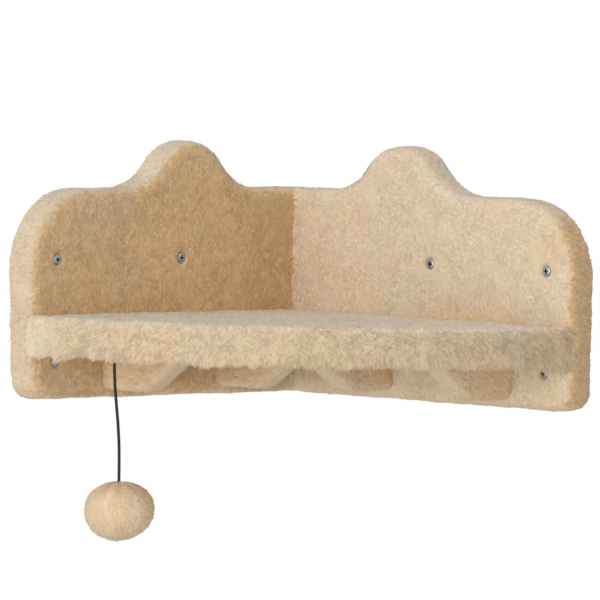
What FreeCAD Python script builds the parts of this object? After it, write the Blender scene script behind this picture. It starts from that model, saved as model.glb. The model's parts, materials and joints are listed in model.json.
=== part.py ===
import FreeCAD, Part
import math
import os

# A corner wall perch for a cat: two plush-covered back panels at a right angle, a quarter-round shelf on four
# brackets, and a plush ball that hangs on an elastic cord. Millimetres, +Z up.
# The origin is where the two walls meet, level with the panels' bottom edges. The left wall is the plane
# X = 0, the right wall is the plane Y = 0, and the room is at X > 0, Y < 0.

# Back panels, measured outside the plush
PANEL_LENGTH = 402.0  # from the room's corner to a panel's outer end
PANEL_HEIGHT = 205.0  # from the bottom edge to the shoulders
PANEL_BOARD = 18.0
PANEL_EDGE_ROUND = 13.0
TOP_CORNER_RADIUS = 76.0
BOTTOM_CORNER_RADIUS = 22.0
END_TAPER = {"left": 9.0, "right": -2.0}  # how far the outer end leans in at the bottom
HUMP_CENTRE = {"left": 176.0, "right": 165.0}  # from the room's corner
HUMP_RISE = 46.0
HUMP_RADIUS = 56.0
HUMP_FLARE = 68.0  # radius where the hump runs into the shoulder
SHOULDER_FLAT = 6.0  # least straight stretch between the hump and the top corner
LEAST_RADIUS = 3.0  # of an inner outline's corners

# Plush covers
PANEL_COVER = 12.0  # over a panel's front and edges
SHELF_COVER = 8.0
HEM = 2.0  # folded behind a board
HEM_WIDTH = 18.0
END_FOLD = 2.0  # squeezed between a panel's inner end and what it meets

# Shelf
SHELF_TOP = 83.0
SHELF_OVERHANG = 2.0  # past the panels' outer ends
SHELF_BOARD = 15.0
SHELF_FOAM = 7.0
SHELF_TOP_ROUND = 10.0
SHELF_FOOT_ROUND = 5.0
FOAM_ROUND = 5.0

# Brackets
BRACKET_BOARD = 15.0
BRACKET_COVER = 6.0
BRACKET_BOTTOM = 10.0
BRACKET_FOOT = 60.0  # length of the level bottom edge
BRACKET_REACH = 106.0  # out from the panel, at the shelf
BRACKET_NOSE = 8.0  # height of the upright tip
BRACKET_TURN = 30.0
BRACKET_EDGE_ROUND = 4.0
BRACKET_INNER = {"left": 129.5, "right": 155.5}  # from the room's corner to a bracket's middle
BRACKET_OUTER = {"left": 118.0, "right": 89.0}  # from the shelf's end back to a bracket's middle

# Wall screws
WALL_SCREW_INNER = {"left": 191.0, "right": 213.5}  # from the room's corner
WALL_SCREW_END = {"left": 40.5, "right": 35.0}  # from a panel's outer end
WALL_SCREW_LOW = 37.0  # above a panel's bottom edge
WALL_SCREW_DROP = 69.0  # below a panel's shoulder
WALL_SCREW_RADIUS = 2.25  # over the thread, which is in the wall
WALL_SHANK_RADIUS = 1.65  # of the plain stretch in the panel
WALL_SCREW_LENGTH = 60.0
WALL_HEAD_RADIUS = 5.2
WALL_HEAD_HEIGHT = 3.2
WALL_HEAD_ROUND = 1.76
WALL_HEAD_SINK = 5.0  # how far the head presses the plush in
DIMPLE_ROOM = 1.0  # free plush edge round the head
RECESS_WIDTH = 1.4
RECESS_SPAN = 5.6
RECESS_DEPTH = 1.8

# Joining screws, with flat heads
JOIN_RADIUS = 2.0
JOIN_HEAD_RADIUS = 4.0
JOIN_HEAD_HEIGHT = 2.5
POINT_LENGTH = 5.0  # of every screw
POINT_RADIUS = 0.4  # of a screw's blunt tip
CLEARANCE = 0.1  # round a screw in its hole
CORNER_SCREWS = 3
CORNER_SCREW_LOW = 40.0  # above a panel's bottom edge
CORNER_SCREW_DROP = 25.0  # below a panel's shoulder
CORNER_SCREW_LENGTH = 65.0
SHELF_SCREWS = 3  # into each side
SHELF_SCREW_FIRST = 60.0  # from the corner between the panels' fronts
SHELF_SCREW_LAST = 72.0  # from the shelf's end
SHELF_SCREW_LENGTH = 60.0
BRACKET_SCREW_RISES = (18.0, 34.0)  # above the bracket's bottom
BRACKET_SCREW_LENGTH = 55.0
TOP_SCREW_REACHES = (40.0, 62.0)  # out from the panel's front
TOP_SCREW_LENGTH = 32.0

# Staples
STAPLE_CROWN = 10.0
STAPLE_WIRE = 0.9
STAPLE_LEG = 8.0
STAPLE_SINK = 0.3  # how far the crown lies below the hem's face
STAPLE_PITCH = 45.0
END_STAPLE_HEIGHTS = (61.5, 102.5)  # up a panel's outer end
SHELF_STAPLES = 12

# Hanging toy
EYE_REACH = 60.0  # out from the left panel's front
EYE_RIM_GAP = 56.1  # along that panel from the shelf's rim
EYE_RADIUS = 3.0  # to the middle of the wire
EYE_WIRE = 1.0  # radius of the wire
EYE_SHANK = 12.0
CORD_RADIUS = 1.5
RUN_GAP = 0.4  # between the cord's loop and the eye
JOINT_GAP = 0.3  # between pieces that move on each other
BOW_ANGLE = 43.8  # direction of the cord's bow, in degrees from +X
CORD_ROUTE = ((0.9, 20.5), (2.9, 0.0), (5.2, -20.0), (7.2, -50.0))  # sideways, height
BEND_SHARE = 0.45  # how much of the shorter run beside it a bend of the cord takes up
BALL_OFFSET = 7.2  # of the ball's axis, sideways from the eye
BALL_CENTRE = -103.7
BALL_HALF_WIDTH = 33.5
BALL_HALF_HEIGHT = 28.5
BALL_SIDE_RADIUS = 26.0
BALL_SKIN = 5.0
NECK_ROOM = 0.5  # round the cord where it enters the ball
KNOT_RADIUS = 3.2

# Sizes that follow from those above
PANEL = HEM + PANEL_BOARD + PANEL_COVER
FOAM_TOP = SHELF_TOP - SHELF_COVER
BOARD_TOP = FOAM_TOP - SHELF_FOAM
BOARD_BOTTOM = BOARD_TOP - SHELF_BOARD
HEM_BOTTOM = BOARD_BOTTOM - HEM
BRACKET_WIDTH = BRACKET_BOARD + 2 * BRACKET_COVER
SHELF_END = PANEL_LENGTH + SHELF_OVERHANG
SHELF_RADIUS = SHELF_END - PANEL  # from the corner between the panels' fronts
EYE_PLACE = (PANEL + EYE_REACH, EYE_RIM_GAP - PANEL - math.sqrt(SHELF_RADIUS**2 - EYE_REACH**2))
SIDES = ("left", "right")
STARTS = {"left": 0.0, "right": PANEL}  # of the panels, from the room's corner
HUMP_LEAN = math.asin(1 - HUMP_RISE / (HUMP_RADIUS + HUMP_FLARE))  # of the line between its arcs' centres
HUMP_HALF_BASE = (HUMP_RADIUS + HUMP_FLARE) * math.cos(HUMP_LEAN)
BRACKET_PLACES = {}
for bracket_side in SIDES:
    BRACKET_PLACES[bracket_side + "_inner"] = (bracket_side, BRACKET_INNER[bracket_side])
    BRACKET_PLACES[bracket_side + "_outer"] = (bracket_side, SHELF_END - BRACKET_OUTER[bracket_side])
NEAR = 1e-6  # lengths that differ by less are the same

X = FreeCAD.Vector(1, 0, 0)
Y = FreeCAD.Vector(0, 1, 0)
Z = FreeCAD.Vector(0, 0, 1)
ORIGIN = FreeCAD.Vector(0, 0, 0)


def vector(x, y, z):
    return FreeCAD.Vector(x, y, z)


def on_wall(shape, side):
    """A shape made against the right wall, put on the wall of that side."""
    return shape if side == "right" else shape.mirror(ORIGIN, X + Y)


def solid_of(shape):
    """The one solid in a shape, checked."""
    if len(shape.Solids) != 1 or not shape.isValid():
        raise ValueError("a piece came out as %d solids" % len(shape.Solids))
    return shape.Solids[0]


def spread(first, last, count):
    """That many evenly spaced values."""
    return [first + (last - first) * i / (count - 1) for i in range(count)]


def cut(shape, tools):
    return solid_of(shape.cut(tuple(tools)).removeSplitter())


def save(name, solids):
    shape = solids[0] if len(solids) == 1 else Part.makeCompound(solids)
    shape.exportStep("parts/%s.step" % name)
    print("%s: %d solids, %.0f mm3" % (name, len(solids), shape.Volume))


# Outlines
def rounded_face(corners, origin, across, up):
    """A flat face with those corners, ((across, up), radius), each rounded by its radius."""
    points = [vector(a, b, 0) for (a, b), radius in corners]
    turns = []
    for i, point in enumerate(points):
        radius = corners[i][1]
        before = (points[i - 1] - point).normalize()
        after = (points[(i + 1) % len(points)] - point).normalize()
        if radius == 0:
            turns.append((point, None, point))
            continue
        half = before.getAngle(after) / 2
        inwards = (before + after).normalize()
        reach = radius / math.tan(half)
        middle = point + inwards * (radius / math.sin(half) - radius)
        turns.append((point + before * reach, middle, point + after * reach))

    def place(p):
        return origin + across * p.x + up * p.y

    edges = []
    for i, (start, middle, end) in enumerate(turns):
        if middle is not None:
            edges.append(Part.Arc(place(start), place(middle), place(end)).toShape())
        following = turns[(i + 1) % len(turns)][0]
        if end.distanceToPoint(following) > NEAR:
            edges.append(Part.LineSegment(place(end), place(following)).toShape())
    return Part.Face(Part.Wire(edges))


def panel_face(side, inset, depth):
    """A panel's outline, drawn in by inset from the plush's outside, depth away from the right wall."""
    inner = STARTS[side]
    if inset:
        inner += END_FOLD + inset - PANEL_COVER
    outer = PANEL_LENGTH - inset
    shoulder = PANEL_HEIGHT - inset
    middle = HUMP_CENTRE[side]
    crown = HUMP_RADIUS - inset
    crown_height = PANEL_HEIGHT + HUMP_RISE - HUMP_RADIUS
    flare = HUMP_FLARE + inset
    foot = HUMP_HALF_BASE - flare * math.tan((math.pi / 2 - HUMP_LEAN) / 2)
    top_corner = min(TOP_CORNER_RADIUS, PANEL_LENGTH - middle - HUMP_HALF_BASE - SHOULDER_FLAT)
    corners = [
        ((inner, inset), 0),
        ((inner, shoulder), 0),
        ((middle - foot, shoulder), flare),
        ((middle, crown_height + crown / math.sin(HUMP_LEAN)), crown),
        ((middle + foot, shoulder), flare),
        ((outer, shoulder), max(top_corner - inset, LEAST_RADIUS)),
        ((outer - END_TAPER[side], inset), max(BOTTOM_CORNER_RADIUS - inset, LEAST_RADIUS)),
    ]
    return rounded_face(corners, vector(0, -depth, 0), X, Z)


def sector(radius, low, high):
    """A quarter disc in the corner between the panels' fronts."""
    corner = vector(PANEL, -PANEL, low)
    slant = radius * math.sqrt(0.5)
    arc = Part.Arc(corner + X * radius, corner + X * slant - Y * slant, corner - Y * radius)
    edges = [
        Part.LineSegment(corner, corner + X * radius).toShape(),
        arc.toShape(),
        Part.LineSegment(corner - Y * radius, corner).toShape(),
    ]
    return Part.Face(Part.Wire(edges)).extrude(Z * (high - low))


def arc_edges(shape, height):
    """The curved edges of a level face at that height."""
    level = [e for e in shape.Edges if abs(e.BoundBox.ZMin - height) < NEAR and e.BoundBox.ZLength < NEAR]
    return [e for e in level if isinstance(e.Curve, Part.Circle)]


# Screws and staples
def shank(seat, along, radius, length, room=0.0):
    """A screw's shank and point, from its seat, with room round them."""
    straight = length - POINT_LENGTH
    end = seat + along * straight
    body = Part.makeCylinder(radius + room, straight, seat, along)
    point = Part.makeCone(radius + room, POINT_RADIUS + room, POINT_LENGTH + room, end, along)
    return body.fuse(point)


def joining_screw(seat, along, length, room=0.0):
    """A flat-headed screw with its head flush at the seat, or with room round it, its hole."""
    head = Part.makeCone(JOIN_HEAD_RADIUS + room, JOIN_RADIUS + room, JOIN_HEAD_HEIGHT, seat, along)
    return solid_of(head.fuse(shank(seat, along, JOIN_RADIUS, length, room)).removeSplitter())


def wall_screw(seat):
    """A round-headed screw with a cross recess, plain in the panel and threaded in the right wall."""
    depth = -seat.y
    head = Part.makeCylinder(WALL_HEAD_RADIUS, WALL_HEAD_HEIGHT, seat, -Y)
    rim = [e for e in head.Edges if abs(e.BoundBox.YMax - seat.y + WALL_HEAD_HEIGHT) < NEAR]
    head = head.makeFillet(WALL_HEAD_ROUND, rim)
    face = seat - Y * WALL_HEAD_HEIGHT
    for width, tall in ((RECESS_SPAN, RECESS_WIDTH), (RECESS_WIDTH, RECESS_SPAN)):
        head = head.cut(Part.makeBox(width, RECESS_DEPTH, tall, face - X * width / 2 - Z * tall / 2))
    plain = Part.makeCylinder(WALL_SHANK_RADIUS, depth, seat, Y)
    thread = shank(seat + Y * depth, Y, WALL_SCREW_RADIUS, WALL_SCREW_LENGTH - depth)
    return solid_of(head.fuse((plain, thread)).removeSplitter())


def wall_screw_room(seat):
    """The hole of a wall screw, with the dimple that its head presses into the plush."""
    hole = Part.makeCylinder(WALL_SCREW_RADIUS + CLEARANCE, WALL_SCREW_LENGTH, seat, Y)
    return hole.fuse(Part.makeCylinder(WALL_HEAD_RADIUS + DIMPLE_ROOM, WALL_HEAD_SINK, seat, -Y))


def staple(middle, along, into):
    """A staple with its crown's middle on the hem's face, crown along one direction and legs into another."""
    side = along.cross(into)
    corner = middle - along * STAPLE_CROWN / 2 - side * STAPLE_WIRE / 2 + into * STAPLE_SINK

    def bar(start, run, length):
        square = Part.makePolygon([start, start + run, start + run + side * STAPLE_WIRE,
                                   start + side * STAPLE_WIRE, start])
        return Part.Face(square).extrude(into * length)

    crown = bar(corner, along * STAPLE_CROWN, STAPLE_WIRE)
    legs = [bar(corner + along * shift, along * STAPLE_WIRE, STAPLE_LEG)
            for shift in (0, STAPLE_CROWN - STAPLE_WIRE)]
    return solid_of(crown.fuse(tuple(legs)).removeSplitter())


# Pieces on each wall
def wall_seats(side):
    """Where the wall screws' heads seat, for a panel against the right wall."""
    depth = PANEL - WALL_HEAD_SINK
    places = (WALL_SCREW_INNER[side], PANEL_LENGTH - WALL_SCREW_END[side])
    heights = (WALL_SCREW_LOW, PANEL_HEIGHT - WALL_SCREW_DROP)
    return [vector(place, -depth, height) for place in places for height in heights]


def shelf_seats():
    middle = (BOARD_TOP + BOARD_BOTTOM) / 2
    places = spread(PANEL + SHELF_SCREW_FIRST, SHELF_END - SHELF_SCREW_LAST, SHELF_SCREWS)
    return [vector(place, -HEM, middle) for place in places]


def bracket_seats(place):
    return [vector(place, -HEM, BRACKET_BOTTOM + rise) for rise in BRACKET_SCREW_RISES]


def top_seats(place):
    return [vector(place, -PANEL - reach, BOARD_TOP) for reach in TOP_SCREW_REACHES]


def panel_staple_set(side):
    """Staples along the bottom, the shoulders and the outer end of a panel's hem, against the right wall."""
    inset = PANEL_COVER + HEM_WIDTH / 2
    low, high = inset, PANEL_HEIGHT - inset
    first = STARTS[side] + END_FOLD + HEM_WIDTH
    outer = PANEL_LENGTH - max(END_TAPER[side], 0) - inset
    last = outer - BOTTOM_CORNER_RADIUS
    count = int((last - first) / STAPLE_PITCH) + 1
    below = spread(first, last, count)
    hump = HUMP_HALF_BASE + STAPLE_CROWN
    above = [s for s in below if abs(s - HUMP_CENTRE[side]) > hump and s < PANEL_LENGTH - TOP_CORNER_RADIUS]
    spots = [(s, low, X) for s in below] + [(s, high, X) for s in above]
    spots += [(outer, height, Z) for height in END_STAPLE_HEIGHTS]
    return [staple(vector(s, 0, height), along, -Y) for s, height, along in spots]


def bracket_face(place, width, inset):
    """A bracket's outline, drawn in by inset below and in front, on its side nearer the room's corner."""
    tip = BRACKET_REACH - inset
    corners = [
        ((0, BRACKET_BOTTOM + inset), 0),
        ((BRACKET_FOOT, BRACKET_BOTTOM + inset), BRACKET_TURN),
        ((tip, BOARD_BOTTOM - BRACKET_NOSE), 0),
        ((tip, BOARD_BOTTOM), 0),
        ((0, BOARD_BOTTOM), 0),
    ]
    return rounded_face(corners, vector(place - width / 2, -PANEL, 0), -Y, Z)


def bracket_pieces(place):
    """(board, cover) of a bracket under the shelf, against the right wall's panel."""
    board = bracket_face(place, BRACKET_BOARD, BRACKET_COVER).extrude(X * BRACKET_BOARD)
    outside = bracket_face(place, BRACKET_WIDTH, 0).extrude(X * BRACKET_WIDTH)
    rims = []
    for edge in outside.Edges:
        box = edge.BoundBox
        on_a_side = box.XLength < NEAR
        below_the_top = box.ZMin < BOARD_BOTTOM - NEAR
        upright = box.YLength < NEAR
        if on_a_side and below_the_top and not upright:
            rims.append(edge)
    cover = outside.makeFillet(BRACKET_EDGE_ROUND, rims)
    return board, cut(cover, [board])


def panel_pieces(side):
    """(board, cover) of that side's panel, made against the right wall."""
    board = panel_face(side, PANEL_COVER, HEM).extrude(-Y * PANEL_BOARD)
    outside = panel_face(side, 0, 0).extrude(-Y * PANEL)
    outer = STARTS[side] + NEAR
    front = [e for e in outside.Edges if e.BoundBox.YMax < -PANEL + NEAR and e.BoundBox.XMax > outer]
    outside = outside.makeFillet(PANEL_EDGE_ROUND, front)
    window = panel_face(side, PANEL_COVER + HEM_WIDTH, 0).extrude(-Y * HEM)
    return board, cut(outside, [board, window])


def build_perch():
    """Everything that is fixed to the walls."""
    screws, rooms, staples = [], [], []
    joins = {"shelf": [], "bracket": [], "bracket_top": []}
    for side in SIDES:
        for seat in wall_seats(side):
            screws.append(on_wall(wall_screw(seat), side))
            rooms.append(on_wall(wall_screw_room(seat), side))
    wanted = [(side, "shelf", shelf_seats(), -Y, SHELF_SCREW_LENGTH) for side in SIDES]
    for side, place in BRACKET_PLACES.values():
        wanted.append((side, "bracket", bracket_seats(place), -Y, BRACKET_SCREW_LENGTH))
        wanted.append((side, "bracket_top", top_seats(place), -Z, TOP_SCREW_LENGTH))
    for side, kind, seats, along, length in wanted:
        for seat in seats:
            joins[kind].append(on_wall(joining_screw(seat, along, length), side))
            rooms.append(on_wall(joining_screw(seat, along, length, CLEARANCE), side))
    corner_depth = HEM + PANEL_BOARD / 2
    corner_heights = spread(CORNER_SCREW_LOW, PANEL_HEIGHT - CORNER_SCREW_DROP, CORNER_SCREWS)
    corner_seats = [vector(HEM, -corner_depth, height) for height in corner_heights]
    joins["corner"] = [joining_screw(seat, X, CORNER_SCREW_LENGTH) for seat in corner_seats]
    rooms += [joining_screw(seat, X, CORNER_SCREW_LENGTH, CLEARANCE) for seat in corner_seats]

    for side in SIDES:
        board, cover = panel_pieces(side)
        clips = panel_staple_set(side)
        staples += [on_wall(clip, side) for clip in clips]
        save(side + "_panel_board", [cut(on_wall(cut(board, clips), side), rooms)])
        save(side + "_panel_cover", [cut(on_wall(cut(cover, clips), side), rooms)])
    for name, (side, place) in BRACKET_PLACES.items():
        board, cover = bracket_pieces(place)
        save(name + "_bracket_board", [cut(on_wall(board, side), rooms)])
        save(name + "_bracket_cover", [cut(on_wall(cover, side), rooms)])
    save("wall_screws", screws)
    save("panel_staples", staples)
    for kind, solids in joins.items():
        save(kind + "_screws", solids)
    build_shelf(rooms)


def build_shelf(rooms):
    """The shelf's board, foam, plush cover and staples, and the screw eye under it."""
    inner = SHELF_RADIUS - SHELF_COVER
    eye = eye_solid()
    foam = sector(inner, BOARD_TOP, FOAM_TOP)
    foam = foam.makeFillet(FOAM_ROUND, arc_edges(foam, FOAM_TOP))
    board = sector(inner, BOARD_BOTTOM, BOARD_TOP)
    outside = sector(SHELF_RADIUS, HEM_BOTTOM, SHELF_TOP)
    outside = outside.makeFillet(SHELF_TOP_ROUND, arc_edges(outside, SHELF_TOP))
    outside = outside.makeFillet(SHELF_FOOT_ROUND, arc_edges(outside, HEM_BOTTOM))
    window = sector(inner - HEM_WIDTH, HEM_BOTTOM, BOARD_BOTTOM)
    middle = inner - HEM_WIDTH / 2
    clips = []
    for i in range(SHELF_STAPLES):
        turn = math.radians(90.0 * (i + 0.5) / SHELF_STAPLES)
        out = vector(math.cos(turn), -math.sin(turn), 0)
        spot = vector(PANEL, -PANEL, HEM_BOTTOM) + out * middle
        clips.append(staple(spot, vector(-out.y, out.x, 0), Z))
    cover = cut(outside, [board, foam, window])
    save("shelf_board", [cut(board, rooms + clips + [eye])])
    save("shelf_foam_pad", [foam])
    save("shelf_cover", [cut(cover, clips)])
    save("shelf_staples", clips)
    save("toy_screw_eye", [eye])


# The hanging toy
def eye_centre():
    return vector(EYE_PLACE[0], EYE_PLACE[1], BOARD_BOTTOM - EYE_RADIUS - EYE_WIRE)


def eye_solid():
    """A screw eye under the shelf board, its ring facing +X."""
    ring = Part.makeTorus(EYE_RADIUS, EYE_WIRE, eye_centre(), X)
    top = eye_centre() + Z * EYE_RADIUS
    stem = Part.makeCylinder(EYE_WIRE, EYE_WIRE + EYE_SHANK, top, Z)
    return solid_of(ring.fuse(stem).removeSplitter())


def toy_point(sideways, height):
    turn = math.radians(BOW_ANGLE)
    return vector(EYE_PLACE[0] + sideways * math.cos(turn), EYE_PLACE[1] + sideways * math.sin(turn), height)


def cord_tube(points):
    """A round tube along straight runs joined by arcs as large as the runs allow."""
    edges = []
    start = points[0]
    for before, corner, after in zip(points, points[1:], points[2:]):
        back, on = before - corner, after - corner
        reach = BEND_SHARE * min(back.Length, on.Length)
        half = back.getAngle(on) / 2
        radius = reach * math.tan(half)
        inwards = (back.normalize() + on.normalize()).normalize()
        middle = corner + inwards * (radius / math.sin(half) - radius)
        edges.append(Part.LineSegment(start, corner + back * reach).toShape())
        edges.append(Part.Arc(corner + back * reach, middle, corner + on * reach).toShape())
        start = corner + on * reach
        print("cord bend radius %.0f mm" % radius)
    edges.append(Part.LineSegment(start, points[-1]).toShape())
    path = Part.Wire(edges)
    section = Part.Wire(Part.makeCircle(CORD_RADIUS, points[0], points[1] - points[0]))
    tube = solid_of(path.makePipeShell([section], True, False))
    print("cord length %.1f mm, volume %.1f, section times length %.1f"
          % (path.Length, tube.Volume, math.pi * CORD_RADIUS**2 * path.Length))
    return tube


def oval(centre, half_width, half_height, side_radius):
    """A round body with an oval profile: small arcs at its sides, large ones above and below."""
    shift = half_width - side_radius
    rest = half_height - side_radius
    drop = (shift**2 - rest**2) / (2 * rest)
    crown = half_height + drop
    lean = math.atan2(drop, shift)

    def at(out, up):
        return centre + X * out + Z * up

    edges = [Part.LineSegment(at(0, -half_height), at(0, half_height)).toShape()]
    middle = (math.pi / 2 + lean) / 2
    join = at(shift + side_radius * math.cos(lean), side_radius * math.sin(lean))
    low_join = at(shift + side_radius * math.cos(lean), -side_radius * math.sin(lean))
    above = at(crown * math.cos(middle), crown * math.sin(middle) - drop)
    below = at(crown * math.cos(middle), drop - crown * math.sin(middle))
    edges.append(Part.Arc(at(0, half_height), above, join).toShape())
    edges.append(Part.Arc(join, at(half_width, 0), low_join).toShape())
    edges.append(Part.Arc(low_join, below, at(0, -half_height)).toShape())
    return solid_of(Part.Face(Part.Wire(edges)).revolve(centre, Z, 360))


def build_toy():
    """The cord's loop, the cord, its lower knot and the ball."""
    pivot = eye_centre() - Z * EYE_RADIUS
    loop_radius = EYE_WIRE + CORD_RADIUS + RUN_GAP
    loop_bottom = pivot.z - loop_radius - CORD_RADIUS
    centre = toy_point(BALL_OFFSET, BALL_CENTRE)
    skin_bottom = BALL_CENTRE + BALL_HALF_HEIGHT - BALL_SKIN
    knot_centre = toy_point(BALL_OFFSET, skin_bottom - JOINT_GAP - KNOT_RADIUS)
    route = [toy_point(0, loop_bottom - JOINT_GAP)]
    route += [toy_point(sideways, height) for sideways, height in CORD_ROUTE]
    route.append(toy_point(BALL_OFFSET, knot_centre.z + KNOT_RADIUS + JOINT_GAP))
    sizes = (BALL_HALF_WIDTH, BALL_HALF_HEIGHT, BALL_SIDE_RADIUS)
    ball = oval(centre, *sizes)
    inside = oval(centre, *[size - BALL_SKIN for size in sizes])
    neck = Part.makeCylinder(CORD_RADIUS + NECK_ROOM, 2 * BALL_SKIN, toy_point(BALL_OFFSET, skin_bottom), Z)
    room = Part.makeSphere(KNOT_RADIUS + JOINT_GAP, knot_centre)
    save("cord_loop", [Part.makeTorus(loop_radius, CORD_RADIUS, pivot, Y)])
    save("toy_cord", [cord_tube(route)])
    save("ball_knot", [Part.makeSphere(KNOT_RADIUS, knot_centre)])
    save("ball_cover", [cut(ball, [inside, neck])])
    save("ball_filling", [cut(inside, [room])])
    print("swing axes at heights %.2f and %.2f mm" % (pivot.z, pivot.z - loop_radius))
    print("ball axis at X %.2f, Y %.2f mm" % (centre.x, centre.y))


os.makedirs("parts", exist_ok=True)
build_perch()
build_toy()
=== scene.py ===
import itertools
import json
import math
from functools import partial

import bmesh
import bpy
import numpy as np
from mathutils import Matrix, Vector


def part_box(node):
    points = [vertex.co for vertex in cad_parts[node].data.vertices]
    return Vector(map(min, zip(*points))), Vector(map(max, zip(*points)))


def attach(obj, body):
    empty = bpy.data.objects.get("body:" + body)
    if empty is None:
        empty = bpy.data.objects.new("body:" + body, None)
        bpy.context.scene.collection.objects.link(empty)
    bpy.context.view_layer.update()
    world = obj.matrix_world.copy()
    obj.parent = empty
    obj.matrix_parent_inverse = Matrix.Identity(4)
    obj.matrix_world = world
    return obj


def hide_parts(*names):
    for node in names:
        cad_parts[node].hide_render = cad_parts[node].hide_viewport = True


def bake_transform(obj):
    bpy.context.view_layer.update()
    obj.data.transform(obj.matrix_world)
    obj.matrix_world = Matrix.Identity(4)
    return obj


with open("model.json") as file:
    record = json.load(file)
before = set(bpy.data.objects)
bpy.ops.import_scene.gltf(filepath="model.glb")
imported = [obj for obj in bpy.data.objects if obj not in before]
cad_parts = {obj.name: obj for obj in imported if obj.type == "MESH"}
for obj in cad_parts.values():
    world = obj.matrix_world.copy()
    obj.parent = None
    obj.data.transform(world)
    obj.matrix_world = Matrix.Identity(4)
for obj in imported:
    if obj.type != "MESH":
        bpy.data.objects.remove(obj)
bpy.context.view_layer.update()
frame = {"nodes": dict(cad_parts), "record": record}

# A corner wall perch for a cat: plush-covered panels, shelf and brackets, and a plush ball on an elastic
# cord. Metres, +Z up. The left wall is the plane X = 0 and the right wall the plane Y = 0, with the room
# at X > 0, Y < 0.

# Camera
AIM = (0.12266, -0.11821, 0.09775)
AZIMUTH = 43.797  # degrees
ELEVATION = 2.55
ROLL = 1.39
DISTANCE = 7.5642
LENS = 461.91  # millimetres
SENSOR = 36.0

# Light
LAMPS = {  # azimuth, elevation and softness in degrees, and strength
    "key": (14.0, 4.0, 50.0, 1.5),
    "top": (40.0, 75.0, 60.0, 0.5),
}
WORLD_STRENGTH = 0.53
FLOOR_HEIGHT = -0.6
FLOOR_SIZE = 3.0

# Cord, as (sideways, height) from the eye, with the ends at its loop and at the ball's knot
CORD_TOP = (0.0, 0.0413)
CORD_ROUTE = ((0.0009, 0.0205), (0.0029, 0.0), (0.0052, -0.0200), (0.0072, -0.0500))
CORD_BOTTOM = (0.0072, -0.0802)
CORD_RADIUS = 0.0015
LOOP_FACES = (48, 14)  # round the loop and round its section
LOOP_SHARE = 0.96  # of the cord's thickness
LOOP_KNOT = (0.25, 0.16)  # how much thicker it is at its knot, and how far that reaches
BOW_ANGLE = 43.8  # degrees from +X

# Skins of the plush
VOXEL = 0.002  # of the even meshes
SOFTENING = {"panel": 8, "shelf": 5, "bracket": 36}  # rounds of smoothing
SKIN_INSET = 0.0008  # from the covers' outside to the skin that the pile grows from
BRACKET_INSET = 0.8  # share of it on the brackets
JOINT_BAND = 0.002  # beside other pieces, where a skin isn't drawn in
TUCKS = {"left": 0.0, "right": 0.005}  # how far a panel's skin goes on into the other one
TUCK_LENGTH = 0.012  # along the wall, over which it does
RIM_WIDTH = 0.02  # of the shelf's hem, in from the rim
RIM_EDGE = 0.005  # from the rim, where the sag is complete
SAG = 0.0030  # of the skirt's foot
SCREW_BARE = 0.0072  # radius round a wall screw with no pile
SCREW_SHORT = 0.014  # radius round it with shorter pile
RECESS_DEPTHS = (0.0002, 0.0022)  # below the screws' heads, where their cross recesses are, which get painted shade
RECESS_REACH = 0.003  # from the screws' middles

# Noise, in layers of (height, size)
LATTICE = 64  # cells before it repeats
LUMPS = ((0.0006, 0.022), (0.0004, 0.009))  # of the skins
SAG_NOISE = ((0.0012, 0.020),)
LENGTH_NOISE = ((0.2, 0.012),)  # as a share of a strand's length
CORNER_NOISE = ((0.0030, 0.003),)  # of the corner's fringe
SKIRT_NOISE = ((0.0009, 0.016),)  # of the skirt's fringe
PATCHES = ((0.6, 0.030), (0.4, 0.011))  # of the hue
STREAKS = ((0.4, 0.006),)  # of the lightness
SPOT_NOISE = ((0.7, 0.010),)  # as a share of a spot's change
EDGE_NOISE = ((0.15, 0.008),)  # of the line where a panel's painted shade sets in
TURN_SIZES = (0.028, 0.007)  # sizes alone, of what turns the pile's lie

# Strands of the pile, which lie together in locks
STRANDS = {"panel": 190000, "corner": 3400, "top": 190000, "skirt": 66000, "bracket": 26000, "ball": 60000}
LEANS = {"panel": 62.0, "corner": 18.0, "top": 66.0, "skirt": 64.0, "bracket": 60.0, "ball": 62.0}  # degrees
LEAN_SCATTER = 9.0
EDGE_LEAN = 8.0  # how much more they lean on a panel's edges
END_LEAN = 16.0  # how much less they lean at the skirt's right end
PANEL_PILE = 0.0036  # lengths
CORNER_PILE = 0.0060
TOP_PILE = 0.003
SKIRT_PILE = 0.0032
SKIRT_FRINGE = 0.0044  # how much longer it is at its foot
SKIRT_END = 0.0070  # how much longer it is at its right end
BRACKET_PILE = 0.0046
BALL_PILE = (0.0016, 0.0014)  # at its gathers, and how much longer away from them
SCREW_SHARE = 0.35  # of a panel's pile that is left beside a wall screw
EDGE_SHARE = 0.45  # of it that is left on a panel's edges
CORNER_CUTS = {"left": 0.5, "right": 0.0}  # share of it that is lost in the corner
CORNER_BAND = 0.010  # along the wall, over which it is lost
FRINGE_BAND = (-0.0005, 0.0022)  # from the left panel's front, where the corner's fringe grows
FRINGE_FOOT = 0.008  # height from which it grows
FLOWS = {"left": (0.3, 0.9), "right": (0.9, 0.5)}  # the lie of a panel's pile, along the wall and down
BRACKET_DROOP = 0.3  # how much the brackets' pile lies down
LENGTH_SCATTER = (0.7, 1.2)
WIDTH_SCATTER = (0.7, 1.3)
BEND_RISE = 0.5  # how much steeper a bent strand starts
BEND_LIE = 0.35  # how much more it lies down past its bend
BEND_DROOP = 0.25
STRAND_WIDTH = 0.00045
BLADE_TAPER = 0.8  # width of a bent strand at its bend
LOCK = 8  # strands in a lock
LOCK_SPREAD = (0.0012, 0.0008)  # of their roots, along the lie and across it
LOCK_GATHER = 0.4  # how much of that spread is left at their tips
LOCK_REACH = (0.75, 1.1)  # of a strand, as shares of its lock's length
LOCK_TILT = 0.14  # how unevenly locks face the light
STRAND_TILT = 0.1  # the same for strands
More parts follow.
